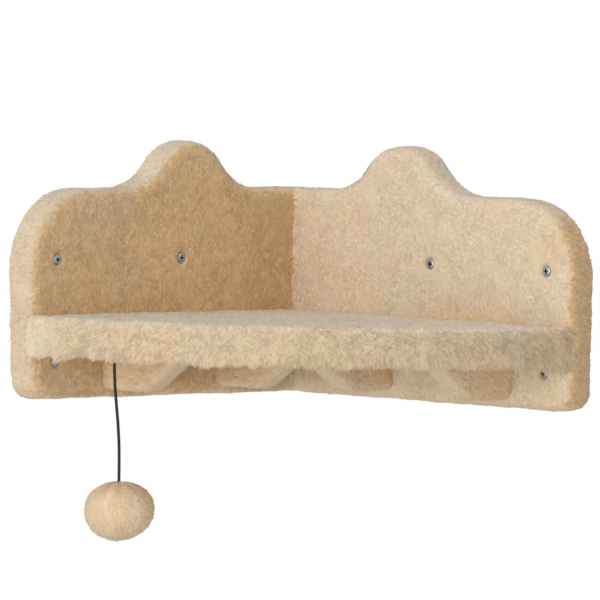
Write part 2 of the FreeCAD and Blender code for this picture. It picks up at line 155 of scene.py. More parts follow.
TIP_TILT = 0.25  # how much a strand's shading turns towards its tip

# Shades of the pile, linear: three hues, each in three lightnesses, which carry the pile's uneven tone and
# also painted shade and painted light
HUES = {"deep": (0.84, 0.56, 0.28), "mid": (0.79, 0.60, 0.38), "pale": (0.77, 0.65, 0.49)}
LIGHTNESSES = (0.72, 1.0, 1.14)
HUE_SCATTER = 0.25
LIGHT_SCATTER = 0.3

# Shelf and its skirt
TOP_HUE = 1.9
TOP_LIGHT = 0.1
SKIRT_HUES = {"middle": 1.2, "left": 0.4, "upper": 0.6, "right": -0.5}  # the middle's, and changes
SKIRT_LIGHTS = {"middle": -0.5, "left": 0.9}
UPPER_BAND = (0.030, 0.040)  # above the skirt's foot, where the upper hue sets in
SKIRT_DENSITY = 1.2  # how much denser the pile is at the foot
SKIRT_DOWN = (0.4, 0.6)  # how much the pile lies down, and how much more at the foot
SKIRT_SIDEWAYS = 0.5  # how much it lies towards the shelf's ends
SKIRT_PARTING = 0.2  # length over which that changes sides
FOOT_HEIGHTS = {"sag": 0.012, "density": 0.012, "lie": 0.014, "fringe": 0.008}  # where those start
LEFT_END = (2.0, 9.0)  # degrees round the rim, over which that end's paler pile fades
RIGHT_END = (78.0, 90.0)  # degrees over which the other end's pile gets longer
# Longer tufts of its fringe: degrees round the rim, half width in degrees, extra length
TUFTS = ((7.9, 1.4, 0.0110), (29.7, 3.0, 0.0004), (39.0, 2.0, 0.0006), (52.0, 3.0, 0.0010),
         (84.0, 4.0, 0.0020))

# Ball
BALL_RINGS = (160, 90)  # faces round it and from top to bottom
FULLNESS = 0.92  # below 1 the sides are fuller
GATHERS = 8
GATHER_DEPTH = 0.14  # share of the width
GATHER_DROP = 0.0008
FOLD_SHIFT = (1.2, 0.6)  # how unevenly they lie, and from where
GATHER_FADES = {"hue": (25.0, 62.0), "length": (25.0, 60.0)}  # degrees from the top
BALL_BARE = 6.0  # degrees from the top with no pile
GATHER_ANGLE = 36.0  # degrees from the top that the gathers reach
BULGE_TURN = math.radians(43.8)  # round the ball, where it bulges
BULGE = 0.035  # share of the width
BULGE_LIFT = 0.0022  # how much higher that side is
BALL_BRUSHED = np.array((-0.69, 0.72, 0.0))  # the way its pile is brushed
BALL_PARTING = (0.6, 0.010)  # how much the pile parts up and down, and over which height
PAINTED_LIGHT_SIDE = np.array((0.72, 0.69, 0.0))  # painted light: the side turned from the key lamp, where its pile is lighter
BAND_TURN = math.radians(-41.0)  # round the ball, where a band of deeper hue runs down it
BAND_PITCH = math.radians(51.43)
BAND_HUE = -0.4
BALL_HUE = 1.0
GATHER_HUES = (1.2, -2.4)  # on the gathers' ridges, and the change into their folds: a painted highlight on the ridges and painted shade in the folds
BALL_LIGHTS = {"plain": 0.2, "painted_light": 1.2, "ridges": 0.8}  # the plain one, and changes: painted light on the side turned from the key lamp, and a painted highlight on the gathers' ridges

# Brushed spots, painted shade and painted light on the panels: along the wall, height, their half sizes, and
# how much paler the hue is
SPOTS = {
    "left": (
        (0.304, 0.183, 0.036, 0.022, 0.8),
        (0.050, 0.103, 0.018, 0.022, 1.2),
        (0.350, 0.020, 0.025, 0.016, 0.7),
        # painted shade under the shelf
        (0.190, 0.040, 0.160, 0.030, -1.1),
        (0.050, 0.030, 0.030, 0.030, -1.0),
    ),
    "right": (
        # painted shade in the crease above the shelf
        (0.190, 0.091, 0.030, 0.007, -0.3),
        (0.300, 0.088, 0.060, 0.007, -0.9),
        # painted shade towards the panel's end
        (0.385, 0.100, 0.015, 0.016, -0.6),
        # painted shade under the shelf
        (0.080, 0.025, 0.080, 0.030, -1.3),
        (0.240, 0.025, 0.090, 0.025, -0.5),
        (0.360, 0.020, 0.040, 0.020, -0.6),
        # painted light where the shelf shades the panel
        (0.120, 0.105, 0.080, 0.020, 0.6),
        (0.330, 0.165, 0.050, 0.030, -0.35),
        # painted shade towards the panel's end
        (0.388, 0.178, 0.016, 0.028, -0.9),
        (0.400, 0.080, 0.008, 0.080, -0.9),
    ),
}
PANEL_HUES = {"left": 1.6, "right": 1.9}  # on faces that look along Y
PANEL_LIGHTS = {"left": -0.25, "right": 0.0}  # how much lighter a panel's shades are; the left panel's lower value is painted shade, as it turns from the key lamp
SHADE_HUE_TURNS = {"left": 1.35, "right": 1.9}  # how much deeper they are on faces that look along X: painted shade, as those faces turn from the key lamp
SHADE_LIGHT_TURNS = {"left": 0.0, "right": 1.3}  # how much darker they are there: painted shade
# That painted shade sets in over these values of the normals' X and places along the wall, from a least
# share
TURN_RAMPS = {"left": (0.45, 0.99), "right": (0.42, 0.98)}
TURN_STARTS = {"left": (-0.2, -0.1), "right": (0.330, 0.385)}
TURN_LEAST = 0.4
FRONT_RAMP = (0.3, 0.9)  # of the normals, from a panel's edges to its front
UNDERSIDE_SHADE_HUE = 0.9  # painted shade: how much deeper the panels' faces that look down are
CORNER_SHADE_HUES = {"left": 1.3, "right": 0.0}  # painted shade: how much deeper and darker the panels are towards the corner
CORNER_REACH = 0.17  # along the wall, where that ends
FRINGE_HUE = 1.4
FRINGE_LIGHT = 0.8
BRACKET_HUES = {"left": 0.5, "right": 0.9}
BRACKET_SLOPES = {"left": -0.5, "right": -0.2}  # below 0, paler on faces that look down
BRACKET_ROOT_SHADE = (0.4, 0.035)  # painted shade: how much deeper faces that look along X are at the panel, over which length
BRACKET_LIGHTS = {"left": 0.1, "right": 1.1}
BRACKET_UNDERSIDE_SHADE = {"left": 0.0, "right": 1.2}  # painted shade: how much darker they are on faces that look down

SIDES = ("left", "right")
BRACKETS = [side + place for side in SIDES for place in ("_inner", "_outer")]
WALL_NORMALS = {"left": np.array((-1.0, 0.0, 0.0)), "right": np.array((0.0, 1.0, 0.0))}
WALL_WAYS = {"left": np.array((0.0, -1.0, 0.0)), "right": np.array((1.0, 0.0, 0.0))}  # off the corner
DOWN = np.array((0.0, 0.0, -1.0))
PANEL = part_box("shelf_cover")[0][0]  # a panel's thickness: the shelf begins at the panels' fronts
SHELF_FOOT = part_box("shelf_cover")[0][2]
BOARD_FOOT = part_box("shelf_board")[0][2]
SHELF_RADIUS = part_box("shelf_cover")[1][0] - PANEL
QUICK_SHARE = 1.0


# Arrays
def unit(vectors):
    return vectors / np.maximum(np.linalg.norm(vectors, axis=1, keepdims=True), 1e-12)


def dot(a, b):
    return np.sum(a * b, axis=1, keepdims=True)


def noise(points, size, seed):
    """Smooth noise from -1 to 1 at points, with lumps of that size."""
    table = np.random.default_rng(seed).uniform(-1, 1, (LATTICE,) * 3)
    spots = points / size
    cells = np.floor(spots).astype(int)
    inside = spots - cells
    inside = inside * inside * (3 - 2 * inside)
    total = np.zeros(len(points))
    for corner in itertools.product((0, 1), repeat=3):
        weight = np.prod(np.where(corner, inside, 1 - inside), axis=1)
        total += weight * table[tuple(((cells + corner) % LATTICE).T)]
    return total


def layered_noise(points, layers, seed):
    """Noise added up from layers of (height, size)."""
    return sum(height * noise(points, size, seed + i) for i, (height, size) in enumerate(layers))


def noise_vectors(points, size, seed):
    return np.stack([noise(points, size, seed + axis) for axis in range(3)], axis=1)


def ramp(values, start, end):
    """0 before start, 1 after end, smooth between."""
    t = np.clip((values - start) / (end - start), 0, 1)
    return t * t * (3 - 2 * t)


def constant(value):
    """A coat's value that is the same at every root."""
    return lambda points, normals: np.full(len(points), value)


# Materials
def new_material(name, **sockets):
    """A material with its Principled shader, and the values set on that shader's sockets."""
    material = bpy.data.materials.new(name)
    material.use_nodes = True
    shader = material.node_tree.nodes["Principled BSDF"]
    for socket, value in sockets.items():
        shader.inputs[socket.replace("_", " ")].default_value = value
    return material, material.node_tree, shader


def add_node(tree, kind, inputs=None, **settings):
    """A shader node, with inputs that are values or other nodes' output sockets."""
    node = tree.nodes.new("ShaderNode" + kind)
    for name, value in settings.items():
        setattr(node, name, value)
    for name, value in (inputs or {}).items():
        if isinstance(value, bpy.types.NodeSocket):
            tree.links.new(value, node.inputs[name])
        else:
            node.inputs[name].default_value = value
    return node


def noise_node(tree, place, scale, detail=3.0):
    return add_node(tree, "TexNoise", {"Vector": place, "Scale": scale, "Detail": detail}).outputs["Fac"]


def average(tree, first, second):
    total = add_node(tree, "Math", {0: first, 1: second}, operation="ADD").outputs[0]
    return add_node(tree, "Math", {0: total, 1: 0.5}, operation="MULTIPLY").outputs[0]


def add_colours(tree, shader, value, steps):
    """A shader's colour from a ramp of (position, linear colour) steps."""
    node = add_node(tree, "ValToRGB", {"Fac": value})
    while len(node.color_ramp.elements) < len(steps):
        node.color_ramp.elements.new(0.5)
    for element, (position, colour) in zip(node.color_ramp.elements, steps):
        element.position = position
        element.color = (*colour, 1.0)
    tree.links.new(node.outputs["Color"], shader.inputs["Base Color"])


def add_bump(tree, shader, height, distance):
    bump = add_node(tree, "Bump", {"Height": height, "Distance": distance})
    tree.links.new(bump.outputs["Normal"], shader.inputs["Normal"])


def add_roughness(tree, shader, value, low, high):
    node = add_node(tree, "MapRange", {"Value": value, "To Min": low, "To Max": high})
    tree.links.new(node.outputs["Result"], shader.inputs["Roughness"])


def place_of(tree):
    return add_node(tree, "TexCoord").outputs["Object"]


def plush_material(name, dark, light):
    """Backing and lower pile: brushed patches, fine fibre streaks and a soft sheen."""
    material, tree, shader = new_material(
        name, Sheen_Weight=0.25, Sheen_Roughness=0.6, Specular_IOR_Level=0.2)
    place = place_of(tree)
    patches = noise_node(tree, place, 38.0, 4.0)
    fibres = noise_node(tree, place, 900.0)
    add_colours(tree, shader, average(tree, patches, fibres), ((0.35, dark), (0.65, light)))
    add_roughness(tree, shader, fibres, 0.85, 1.0)
    add_bump(tree, shader, fibres, 0.0008)
    return material


def pile_materials():
    """The shades that strands of the pile are drawn from, hue by hue."""
    materials = []
    for hue, colour in HUES.items():
        for step, lightness in enumerate(LIGHTNESSES):
            tint = [min(channel * lightness, 1.0) for channel in colour]
            made = new_material(
                "pile_%s_%d" % (hue, step), Base_Color=(*tint, 1.0), Roughness=0.85,
                Specular_IOR_Level=0.25, Sheen_Weight=0.15, Sheen_Roughness=0.5)
            materials.append(made[0])
    return materials


def board_material():
    """Raw particle board: pressed chips in several browns."""
    material, tree, shader = new_material("raw_board", Specular_IOR_Level=0.3)
    place = place_of(tree)
    chips = add_node(tree, "TexVoronoi", {"Vector": place, "Scale": 420.0})
    grain = noise_node(tree, place, 160.0, 5.0)
    chip_tone = add_node(tree, "SeparateColor", {"Color": chips.outputs["Color"]}).outputs["Red"]
    tone = average(tree, chip_tone, grain)
    steps = ((0.2, (0.20, 0.115, 0.050)), (0.45, (0.42, 0.28, 0.15)), (0.75, (0.60, 0.45, 0.28)))
    add_colours(tree, shader, tone, steps)
    add_roughness(tree, shader, grain, 0.65, 0.9)
    add_bump(tree, shader, tone, 0.0004)
    return material


def metal_material(name, light, dark, low, high):
    """Plated steel with cloudy plating and fine scratches."""
    material, tree, shader = new_material(name, Metallic=1.0)
    place = place_of(tree)
    clouds = noise_node(tree, place, 260.0, 4.0)
    stretched = add_node(tree, "Mapping", {"Vector": place, "Scale": (1.0, 1.0, 14.0)}).outputs["Vector"]
    scratches = noise_node(tree, stretched, 700.0)
    add_colours(tree, shader, clouds, ((0.3, dark), (0.7, light)))
    add_roughness(tree, shader, scratches, low, high)
    add_bump(tree, shader, scratches, 0.00005)
    return material


def cord_material():
    """Black braided elastic: crossing ridges of yarn."""
    material, tree, shader = new_material("black_elastic", Specular_IOR_Level=0.35, Sheen_Weight=0.1)
    place = place_of(tree)
    ridges = []
    for tilt in (35.0, -35.0):
        turned = add_node(tree, "Mapping", {"Vector": place, "Rotation": (0.0, math.radians(tilt), 0.0)})
        inputs = {"Vector": turned.outputs["Vector"], "Scale": 260.0, "Distortion": 0.6}
        wave = add_node(tree, "TexWave", inputs, bands_direction="Z")
        ridges.append(wave.outputs["Fac"])
    braid = add_node(tree, "Math", {0: ridges[0], 1: ridges[1]}, operation="MAXIMUM").outputs[0]
    add_colours(tree, shader, braid, ((0.2, (0.007, 0.005, 0.004)), (0.9, (0.026, 0.019, 0.015))))
    add_roughness(tree, shader, braid, 0.75, 0.55)
    add_bump(tree, shader, braid, 0.0002)
    return material


# Meshes
def new_object(name, data):
    made = bpy.data.objects.new(name, data)
    bpy.context.scene.collection.objects.link(made)
    return made


def read_threes(items, what, kind=float):
    """An array with three values of each item."""
    values = np.empty(len(items) * 3, kind)
    items.foreach_get(what, values)
    return values.reshape(-1, 3)


def mesh_arrays(mesh):
    """A mesh's vertex places, vertex normals, triangles and triangle areas."""
    mesh.calc_loop_triangles()
    triangles = read_threes(mesh.loop_triangles, "vertices", int)
    areas = np.empty(len(triangles))
    mesh.loop_triangles.foreach_get("area", areas)
    return read_threes(mesh.vertices, "co"), read_threes(mesh.vertex_normals, "vector"), triangles, areas


def face_arrays(mesh):
    """A mesh's face middles and face normals."""
    return read_threes(mesh.polygons, "center"), read_threes(mesh.polygons, "normal")


def make_smooth(mesh):
    mesh.polygons.foreach_set("use_smooth", [True] * len(mesh.polygons))


def move_vertices(mesh, places):
    mesh.vertices.foreach_set("co", places.ravel())
    mesh.update()


def ring_mesh(name, rings, closed):
    """A smooth mesh over rings of places, with the last joined to the first or with both ends capped."""
    shape = bmesh.new()
    rings = [[shape.verts.new(place) for place in ring] for ring in rings]
    following = rings[1:] + rings[:1] if closed else rings[1:]
    for (ring, ahead), j in itertools.product(zip(rings, following), range(len(rings[0]))):
        beside = (j + 1) % len(ring)
        shape.faces.new((ring[j], ahead[j], ahead[beside], ring[beside]))
    if not closed:
        shape.faces.new(rings[0])
        shape.faces.new(list(reversed(rings[-1])))
    bmesh.ops.recalc_face_normals(shape, faces=shape.faces[:])
    mesh = bpy.data.meshes.new(name)
    shape.to_mesh(mesh)
    shape.free()
    make_smooth(mesh)
    return mesh


def make_object(name, mesh, body, materials):
    """A piece with its materials, which rides on a body if one is named."""
    piece = new_object(name, mesh)
    for material in materials:
        mesh.materials.append(material)
    if body:
        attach(piece, body)
    return piece


def fit_to_nodes(mesh, nodes):
    """Stretches a mesh to the box round CAD nodes."""
    low = np.min([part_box(node)[0] for node in nodes], axis=0)
    high = np.max([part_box(node)[1] for node in nodes], axis=0)
    places = mesh_arrays(mesh)[0]
    least, most = places.min(axis=0), places.max(axis=0)
    move_vertices(mesh, low + (places - least) * (high - low) / (most - least))


def wrapped_mesh(name, nodes, softening):
    """An even mesh round CAD nodes taken together, with its edges softened."""
    joined = bmesh.new()
    for node in nodes:
        joined.from_mesh(frame["nodes"][node].data)
    source = bpy.data.meshes.new(name)
    joined.to_mesh(source)
    joined.free()
    holder = new_object(name + "_source", source)
    remesh = holder.modifiers.new("even", "REMESH")
    remesh.mode = "VOXEL"
    remesh.voxel_size = VOXEL
    soften = holder.modifiers.new("soften", "SMOOTH")
    soften.factor = 0.5
    soften.iterations = softening
    mesh = bpy.data.meshes.new_from_object(holder.evaluated_get(bpy.context.evaluated_depsgraph_get()))
    mesh.name = name
    bpy.data.objects.remove(holder)
    bpy.data.meshes.remove(source)
    mesh.materials.clear()
    make_smooth(mesh)
    fit_to_nodes(mesh, nodes)
    return mesh


def drop_faces(mesh, unwanted):
    """Deletes the faces whose middles and normals the test picks."""
    picked = unwanted(*face_arrays(mesh))
    shape = bmesh.new()
    shape.from_mesh(mesh)
    shape.faces.ensure_lookup_table()
    bmesh.ops.delete(shape, geom=[shape.faces[i] for i in np.flatnonzero(picked)], context="FACES")
    shape.to_mesh(mesh)
    shape.free()


def plush_skin(name, nodes, softening, inset, unwanted, seed):
    """The skin that pile grows from: wrapped round CAD nodes, drawn in and gently uneven."""
    mesh = wrapped_mesh(name, nodes, softening)
    drop_faces(mesh, unwanted)
    places, normals = mesh_arrays(mesh)[:2]
    uneven = layered_noise(places, LUMPS, seed)[:, None]
    move_vertices(mesh, places + inset(places, normals) + normals * uneven)
    return mesh


def scatter(mesh, count, seed, weight):
    """Seeded points on a mesh with their normals, as dense as the weight says."""
    places, normals, triangles, areas = mesh_arrays(mesh)
    middles = places[triangles].mean(axis=1)
    facing = unit(normals[triangles].mean(axis=1))
    shares = areas * weight(middles, facing)
    random = np.random.default_rng(seed)
    picked = random.choice(len(triangles), int(count * QUICK_SHARE), p=shares / shares.sum())
    first, second = np.sort(random.uniform(size=(2, len(picked))), axis=0)
    mix = np.stack((first, second - first, 1 - second), axis=1)[:, :, None]
    roots = (places[triangles[picked]] * mix).sum(axis=1)
    return roots, unit((normals[triangles[picked]] * mix).sum(axis=1)), random


def strand_mesh(name, spines, normals, widths, shades, random):
    """Thin tapered blades along spines of two or three points, shaded much as the skin under them."""
    count = len(widths)
    along = unit(spines[-1] - spines[0])
    half = unit(np.cross(along, normals)) * widths[:, None] / 2
    corners = [spines[0] - half, spines[0] + half, spines[-1]]
    order, starts = [0, 1, 2], [0]
    if len(spines) == 3:
        corners[2:2] = [spines[1] + BLADE_TAPER * half, spines[1] - BLADE_TAPER * half]
        order, starts = [0, 1, 2, 3, 3, 2, 4], [0, 4]
    blades = np.arange(count)[:, None]
    mesh = bpy.data.meshes.new(name)
    mesh.vertices.add(len(corners) * count)
    mesh.vertices.foreach_set("co", np.stack(corners, axis=1).ravel())
    mesh.loops.add(len(order) * count)
    mesh.loops.foreach_set("vertex_index", (blades * len(corners) + order).ravel())
    mesh.polygons.add(len(starts) * count)
    mesh.polygons.foreach_set("loop_start", (blades * len(order) + starts).ravel())
    mesh.polygons.foreach_set("material_index", np.repeat(shades, len(starts)))
    mesh.update(calc_edges=True)
    facing = unit(normals + STRAND_TILT * random.normal(size=(count, 3)) + TIP_TILT * along)
    make_smooth(mesh)
    mesh.normals_split_custom_set_from_vertices(np.repeat(facing, len(corners), axis=0).tolist())
    return mesh


def pick_shades(points, hue, light, patch, seed, random):
    """Material numbers: a hue from 0, deep, to 2, pale, moved by brushed patches, and a lightness.

    A hue below 0 is darker too, and one above 2 lighter."""
    wanted = hue + patch * layered_noise(points, PATCHES, seed)
    wanted += HUE_SCATTER * random.normal(size=len(points))
    streaks = light + layered_noise(points, STREAKS, seed + 2)
    streaks += LIGHT_SCATTER * random.normal(size=len(points))
    hues = np.clip(np.round(wanted), 0, len(HUES) - 1).astype(int)
    streaks += wanted - np.clip(wanted, 0, len(HUES) - 1)
    lights = np.clip(np.round(1 + streaks), 0, len(LIGHTNESSES) - 1).astype(int)
    return hues * len(LIGHTNESSES) + lights


def lie_on_skin(lies, points, normals, coarse, fine, seed):
    """Directions that the pile lies in: wanted ones, turned by noise and laid on the skin."""
    coarse_size, fine_size = TURN_SIZES
    turned = lies + coarse * noise_vectors(points, coarse_size, seed)
    turned += fine * noise_vectors(points, fine_size, seed + 3)
    return unit(turned - normals * dot(turned, normals))


def lock_spines(spines, lies, across, random):
    """The spines of the strands in each lock, which start side by side and draw together at their tips."""
    count = len(lies) * LOCK
    spread = np.zeros((count, 3))
    for ways, size in zip((lies, across), LOCK_SPREAD):
        spread += np.repeat(ways, LOCK, axis=0) * size * random.normal(size=(count, 1))
    reach = random.uniform(*LOCK_REACH, (count, 1))
    starts = np.repeat(spines[0], LOCK, axis=0) + spread
    strands = [starts]
    for step, spine in enumerate(spines[1:], 1):
        left = 1 - (1 - LOCK_GATHER) * step / (len(spines) - 1)
        strands.append(starts + reach * (np.repeat(spine, LOCK, axis=0) + left * spread - starts))
    return strands


def grow_pile(name, skin, body, coat):
    """Pile on a skin, in locks.

    The coat gives the number of strands and, for each lock, its lie, length, lean and shade."""
    roots, normals, random = scatter(skin, coat["count"] // LOCK, coat["seed"], coat["weight"])
    lies = lie_on_skin(coat["lie"](roots, normals), roots, normals, *coat["turns"], coat["seed"] + 10)
    lean = coat["lean"](roots, normals) + LEAN_SCATTER * random.normal(size=len(roots))
    lean = np.radians(lean)[:, None]
    length = coat["length"](roots, normals) * random.uniform(*LENGTH_SCATTER, len(roots))
    length = (length * (1 + layered_noise(roots, LENGTH_NOISE, coat["seed"] + 20)))[:, None]
    rise = normals * np.cos(lean) + lies * np.sin(lean)
    spines = [roots, roots + rise * length]
    if coat["bent"]:
        middles = roots + unit(rise + BEND_RISE * normals) * 0.5 * length
        past_bend = unit(rise + BEND_LIE * lies + BEND_DROOP * DOWN)
        spines = [roots, middles, middles + past_bend * 0.5 * length]
    hue = coat["hue"](roots, normals)
    light = coat["light"](roots, normals)
    shades = pick_shades(roots, hue, light, coat["patch"], coat["seed"] + 30, random)
    facing = unit(normals + LOCK_TILT * random.normal(size=normals.shape))
    spines = lock_spines(spines, lies, np.cross(normals, lies), random)
    widths = STRAND_WIDTH * coat["thick"] * random.uniform(*WIDTH_SCATTER, len(spines[0]))
    facing = np.repeat(facing, LOCK, axis=0)
    mesh = strand_mesh(name, spines, facing, widths, np.repeat(shades, LOCK), random)
    piece = make_object(name, mesh, body, PILE)
    piece.visible_shadow = False
    piece.visible_diffuse = False
    return piece


# Shared facts
def screw_places():
    """The wall screws' places from the record's mounts: (side, along the wall, height)."""
    found = []
    for mount in frame["record"]["mounts"]:
        if mount["kind"] != "bolt_pattern":
            continue
        side = mount["name"].split("_")[0]
        middle = abs(mount["pos_m"][0 if side == "right" else 1])
        wide = mount["dims"]["spacing_x_mm"] / 2000
        high = mount["dims"]["spacing_y_mm"] / 2000
        for across, up in itertools.product((-wide, wide), (-high, high)):
            found.append((side, middle + across, mount["pos_m"][2] + up))
    return found


SCREWS = screw_places()


def along_wall(points, side):
    return points[:, 0] if side == "right" else -points[:, 1]


def off_wall(points, side):
    return -points[:, 1] if side == "right" else points[:, 0]


def screw_distance(points, side):
    """How far points on a panel are from its nearest wall screw."""
    nearest = np.full(len(points), 1.0)
    for screw_side, along, height in SCREWS:
        if screw_side == side:
            gap = np.hypot(along_wall(points, side) - along, points[:, 2] - height)
            nearest = np.minimum(nearest, gap)
    return nearest


def node_middle(node):
    """The middle of a CAD node's box."""
    return [(low + high) / 2 for low, high in zip(*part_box(node))]


def rim_distance(points):
    """How far points are from the upright line at the shelf's corner."""
    return np.hypot(points[:, 0] - PANEL, points[:, 1] + PANEL)


# Panels
def shaded_side_share(points, normals, side):
    """From 0 to 1, how much of the painted shade on faces towards +X a place on a panel has."""
    uneven = normals[:, 0] + layered_noise(points, EDGE_NOISE, 91)
    along = TURN_LEAST + (1 - TURN_LEAST) * ramp(along_wall(points, side), *TURN_STARTS[side])
    share = ramp(uneven, *TURN_RAMPS[side]) * along
    if side == "right":
        share *= ramp(screw_distance(points, side), SCREW_BARE, SCREW_SHORT)
    return share


def shade_turned_faces(mesh, side):
    """The second material, a deeper and darker one, on the faces that look along +X: painted shade, as those
    faces turn from the key lamp.
    """
    share = shaded_side_share(*face_arrays(mesh), side)
    mesh.polygons.foreach_set("material_index", (share > 0.5).astype(int))


def build_panel(side):
    wall = WALL_NORMALS[side]
    name = side + "_panel_plush"
    ahead = -wall
    sideways = WALL_WAYS[side]

    def near_corner(points, end):
        """From 1 in the corner to 0 at that place along the wall."""
        return 1 - ramp(along_wall(points, side), PANEL, end)

    def inset(points, normals):
        """Drawn in, but not off the wall, and tucked against the other panel in the corner."""
        towards = np.maximum(dot(normals, wall), 0)
        tucked = TUCKS[side] * near_corner(points, PANEL + TUCK_LENGTH)
        return -SKIN_INSET * (normals - towards * wall) - tucked[:, None] * sideways

    def unwanted(middles, normals):
        return (normals @ wall > 0.7) & (off_wall(middles, side) > 0.001)

    def weight(points, normals):
        bare = screw_distance(points, side) < SCREW_BARE
        back = normals @ wall > 0.5
        inside = (along_wall(points, side) < PANEL - 0.001) & (normals @ ahead > 0.5)
        return np.where(bare | back | inside, 0.0, 1.0)

    def lie(points, normals):
        front = ramp(normals @ ahead, 0.3, 0.8)[:, None]
        along, down = FLOWS[side]
        flow = along * sideways + down * DOWN
        return front * flow + (1 - front) * wall

    def length(points, normals):
        off_screw = ramp(screw_distance(points, side), SCREW_BARE, SCREW_SHORT)
        near_screw = SCREW_SHARE + (1 - SCREW_SHARE) * off_screw
        on_front = EDGE_SHARE + (1 - EDGE_SHARE) * ramp(normals @ ahead, *FRONT_RAMP)
        at_end = 1 - CORNER_CUTS[side] * near_corner(points, PANEL + CORNER_BAND)
        return PANEL_PILE * near_screw * on_front * at_end

    def lean(points, normals):
        at_edge = 1 - ramp(normals @ ahead, *FRONT_RAMP)
        return LEANS["panel"] + EDGE_LEAN * at_edge

    def spots(points):
        change = np.zeros(len(points))
        for along, height, long, tall, paler in SPOTS[side]:
            gap = np.hypot((along_wall(points, side) - along) / long, (points[:, 2] - height) / tall)
            change += paler * np.exp(-gap**2)
        return change * (1 + layered_noise(points, SPOT_NOISE, 61))

    def hue(points, normals):
        # Painted shade: deeper and darker on faces turned from the key lamp, towards the corner and on faces
        # that look down; the spots add brushed patches and more painted shade and light
        shaded = near_corner(points, CORNER_REACH)
        deeper = SHADE_HUE_TURNS[side] * shaded_side_share(points, normals, side) + CORNER_SHADE_HUES[side] * shaded
        deeper += UNDERSIDE_SHADE_HUE * ramp(-normals[:, 2], 0.2, 0.7)
        return PANEL_HUES[side] - deeper + spots(points)

    def light(points, normals):
        # Painted shade: darker on faces turned from the key lamp, and all over the left panel
        return PANEL_LIGHTS[side] - SHADE_LIGHT_TURNS[side] * shaded_side_share(points, normals, side)

    nodes = [side + "_panel_cover", side + "_panel_board"]
    skin = plush_skin(name, nodes, SOFTENING["panel"], inset, unwanted, 11)
    piece = make_object(name, skin, "perch", [PLUSH["right"], PLUSH["left"]])
    shade_turned_faces(skin, side)
    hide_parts(side + "_panel_cover")
    seed = 100 + 100 * SIDES.index(side)
    coat = {"count": STRANDS["panel"], "seed": seed, "weight": weight, "lie": lie, "turns": (0.55, 0.45),
            "lean": lean, "length": length, "bent": False, "thick": 1.1, "hue": hue, "patch": 0.5,
            "light": light}
    grow_pile(side + "_panel_pile", skin, "perch", coat)
    if side == "right":
        grow_fringe(skin)


def grow_fringe(skin):
    """A fringe that stands off the right panel where it meets the left one."""
    def weight(points, normals):
        along = points[:, 0]
        start, end = FRINGE_BAND
        at_corner = (along > PANEL + start) & (along < PANEL + end) & (points[:, 2] > FRINGE_FOOT)
        return at_corner & (normals[:, 1] < -0.5)

    def lie(points, normals):
        return np.tile(DOWN, (len(points), 1))

    def length(points, normals):
        return CORNER_PILE + layered_noise(points, CORNER_NOISE, 81)

    coat = {"count": STRANDS["corner"], "seed": 250, "weight": weight, "lie": lie, "turns": (0.8, 0.8),
            "lean": constant(LEANS["corner"]), "length": length, "bent": True, "thick": 1.1,
            "hue": constant(FRINGE_HUE), "patch": 0.5, "light": constant(FRINGE_LIGHT)}
    grow_pile("corner_fringe_pile", skin, "perch", coat)


